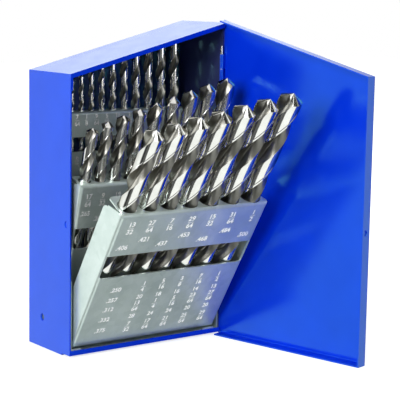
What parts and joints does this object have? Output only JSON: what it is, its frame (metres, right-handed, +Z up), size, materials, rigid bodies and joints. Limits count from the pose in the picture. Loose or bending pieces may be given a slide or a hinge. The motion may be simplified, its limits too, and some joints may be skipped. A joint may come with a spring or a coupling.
{
  "type": "drill bit case",
  "caption": "Upright sheet steel case for twist drills with a side-hinged lid and three tilting racks of graded drills, standing points up",
  "frame": {"origin": "centre of the case's footprint on the surface it stands on", "axes": "+Z up, the open front faces -Y, the lid's hinge is on the +X side"},
  "size_m": [0.1241, 0.1438, 0.1801],
  "materials": {
    "blue_paint": "glossy enamel",
    "zinc_sheet": "galvanised sheet",
    "bright_steel": "ground and polished"
  },
  "bodies": {
    "case": {"case_body": "blue_paint", "upper_hinge_pin": "bright_steel", "lower_hinge_pin": "bright_steel", "rack_bracket": "zinc_sheet", "front_pivots": "bright_steel", "middle_pivots": "bright_steel", "rear_pivots": "bright_steel", "rear_rack": "zinc_sheet", "rear_rest": "zinc_sheet", "drill_1_16": "bright_steel", "drill_5_64": "bright_steel", "drill_3_32": "bright_steel", "drill_7_64": "bright_steel", "drill_1_8": "bright_steel", "drill_9_64": "bright_steel", "drill_5_32": "bright_steel", "drill_11_64": "bright_steel", "drill_3_16": "bright_steel", "drill_13_64": "bright_steel", "drill_7_32": "bright_steel", "drill_15_64": "bright_steel", "drill_1_4": "bright_steel"},
    "lid": {"lid": "blue_paint"},
    "front_rack": {"front_rack": "zinc_sheet", "front_rest": "zinc_sheet", "drill_13_32": "bright_steel", "drill_27_64": "bright_steel", "drill_7_16": "bright_steel", "drill_29_64": "bright_steel", "drill_15_32": "bright_steel", "drill_31_64": "bright_steel", "drill_1_2": "bright_steel"},
    "middle_rack": {"middle_rack": "zinc_sheet", "middle_rest": "zinc_sheet", "drill_17_64": "bright_steel", "drill_9_32": "bright_steel", "drill_19_64": "bright_steel", "drill_5_16": "bright_steel", "drill_21_64": "bright_steel", "drill_11_32": "bright_steel", "drill_23_64": "bright_steel", "drill_3_8": "bright_steel", "drill_25_64": "bright_steel"}
  },
  "joints": [
    {"name": "lid_hinge", "type": "hinge", "parent": "case", "child": "lid", "pos_m": [0.04885, -0.0208, 0.1], "axis": [0, 0, 1], "range_deg": [-15, 0]},
    {"name": "front_rack_tilt", "type": "hinge", "parent": "case", "child": "front_rack", "pos_m": [0, -0.014, 0.0099], "axis": [1, 0, 0], "range_deg": [-31.3, 0]},
    {"name": "middle_rack_tilt", "type": "hinge", "parent": "case", "child": "middle_rack", "pos_m": [0, 0.0013, 0.0099], "axis": [1, 0, 0], "range_deg": [-15.74, 0]}
  ],
  "couplings": [
    {"joint": "middle_rack_tilt", "follows": "front_rack_tilt", "ratio": 0.50287}
  ]
}
